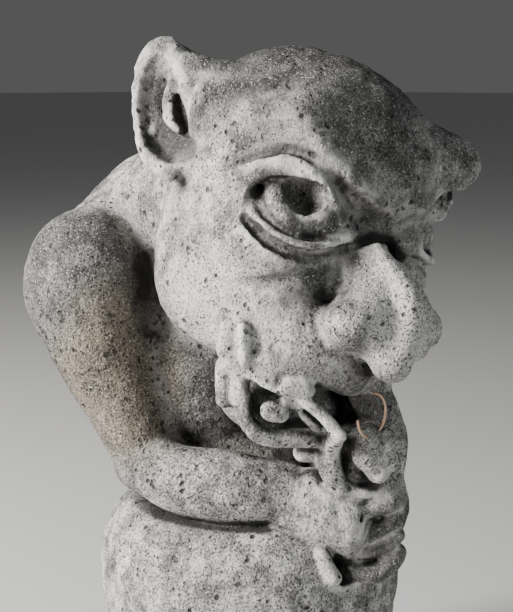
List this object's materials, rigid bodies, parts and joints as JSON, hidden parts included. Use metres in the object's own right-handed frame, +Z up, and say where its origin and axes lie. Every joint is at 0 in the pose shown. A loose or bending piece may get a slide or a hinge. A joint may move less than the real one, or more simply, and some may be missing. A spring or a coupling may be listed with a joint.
{
  "type": "gargoyle figure",
  "caption": "Plaster gargoyle crouching on a round plinth, clasping a small animal to its mouth, with a wire ring threaded through the animal's head.",
  "frame": {"origin": "centre of the plinth's round underside", "axes": "+Z up along the plinth's axis; the figure faces -Y; its right arm is on the -X side"},
  "size_m": [0.1767, 0.2039, 0.349],
  "materials": {
    "plaster": "weathered matte plaster",
    "wire": "dull copper wire"
  },
  "bodies": {
    "root": {"gargoyle": "plaster", "wire_ring": "wire"}
  },
  "joints": []
}
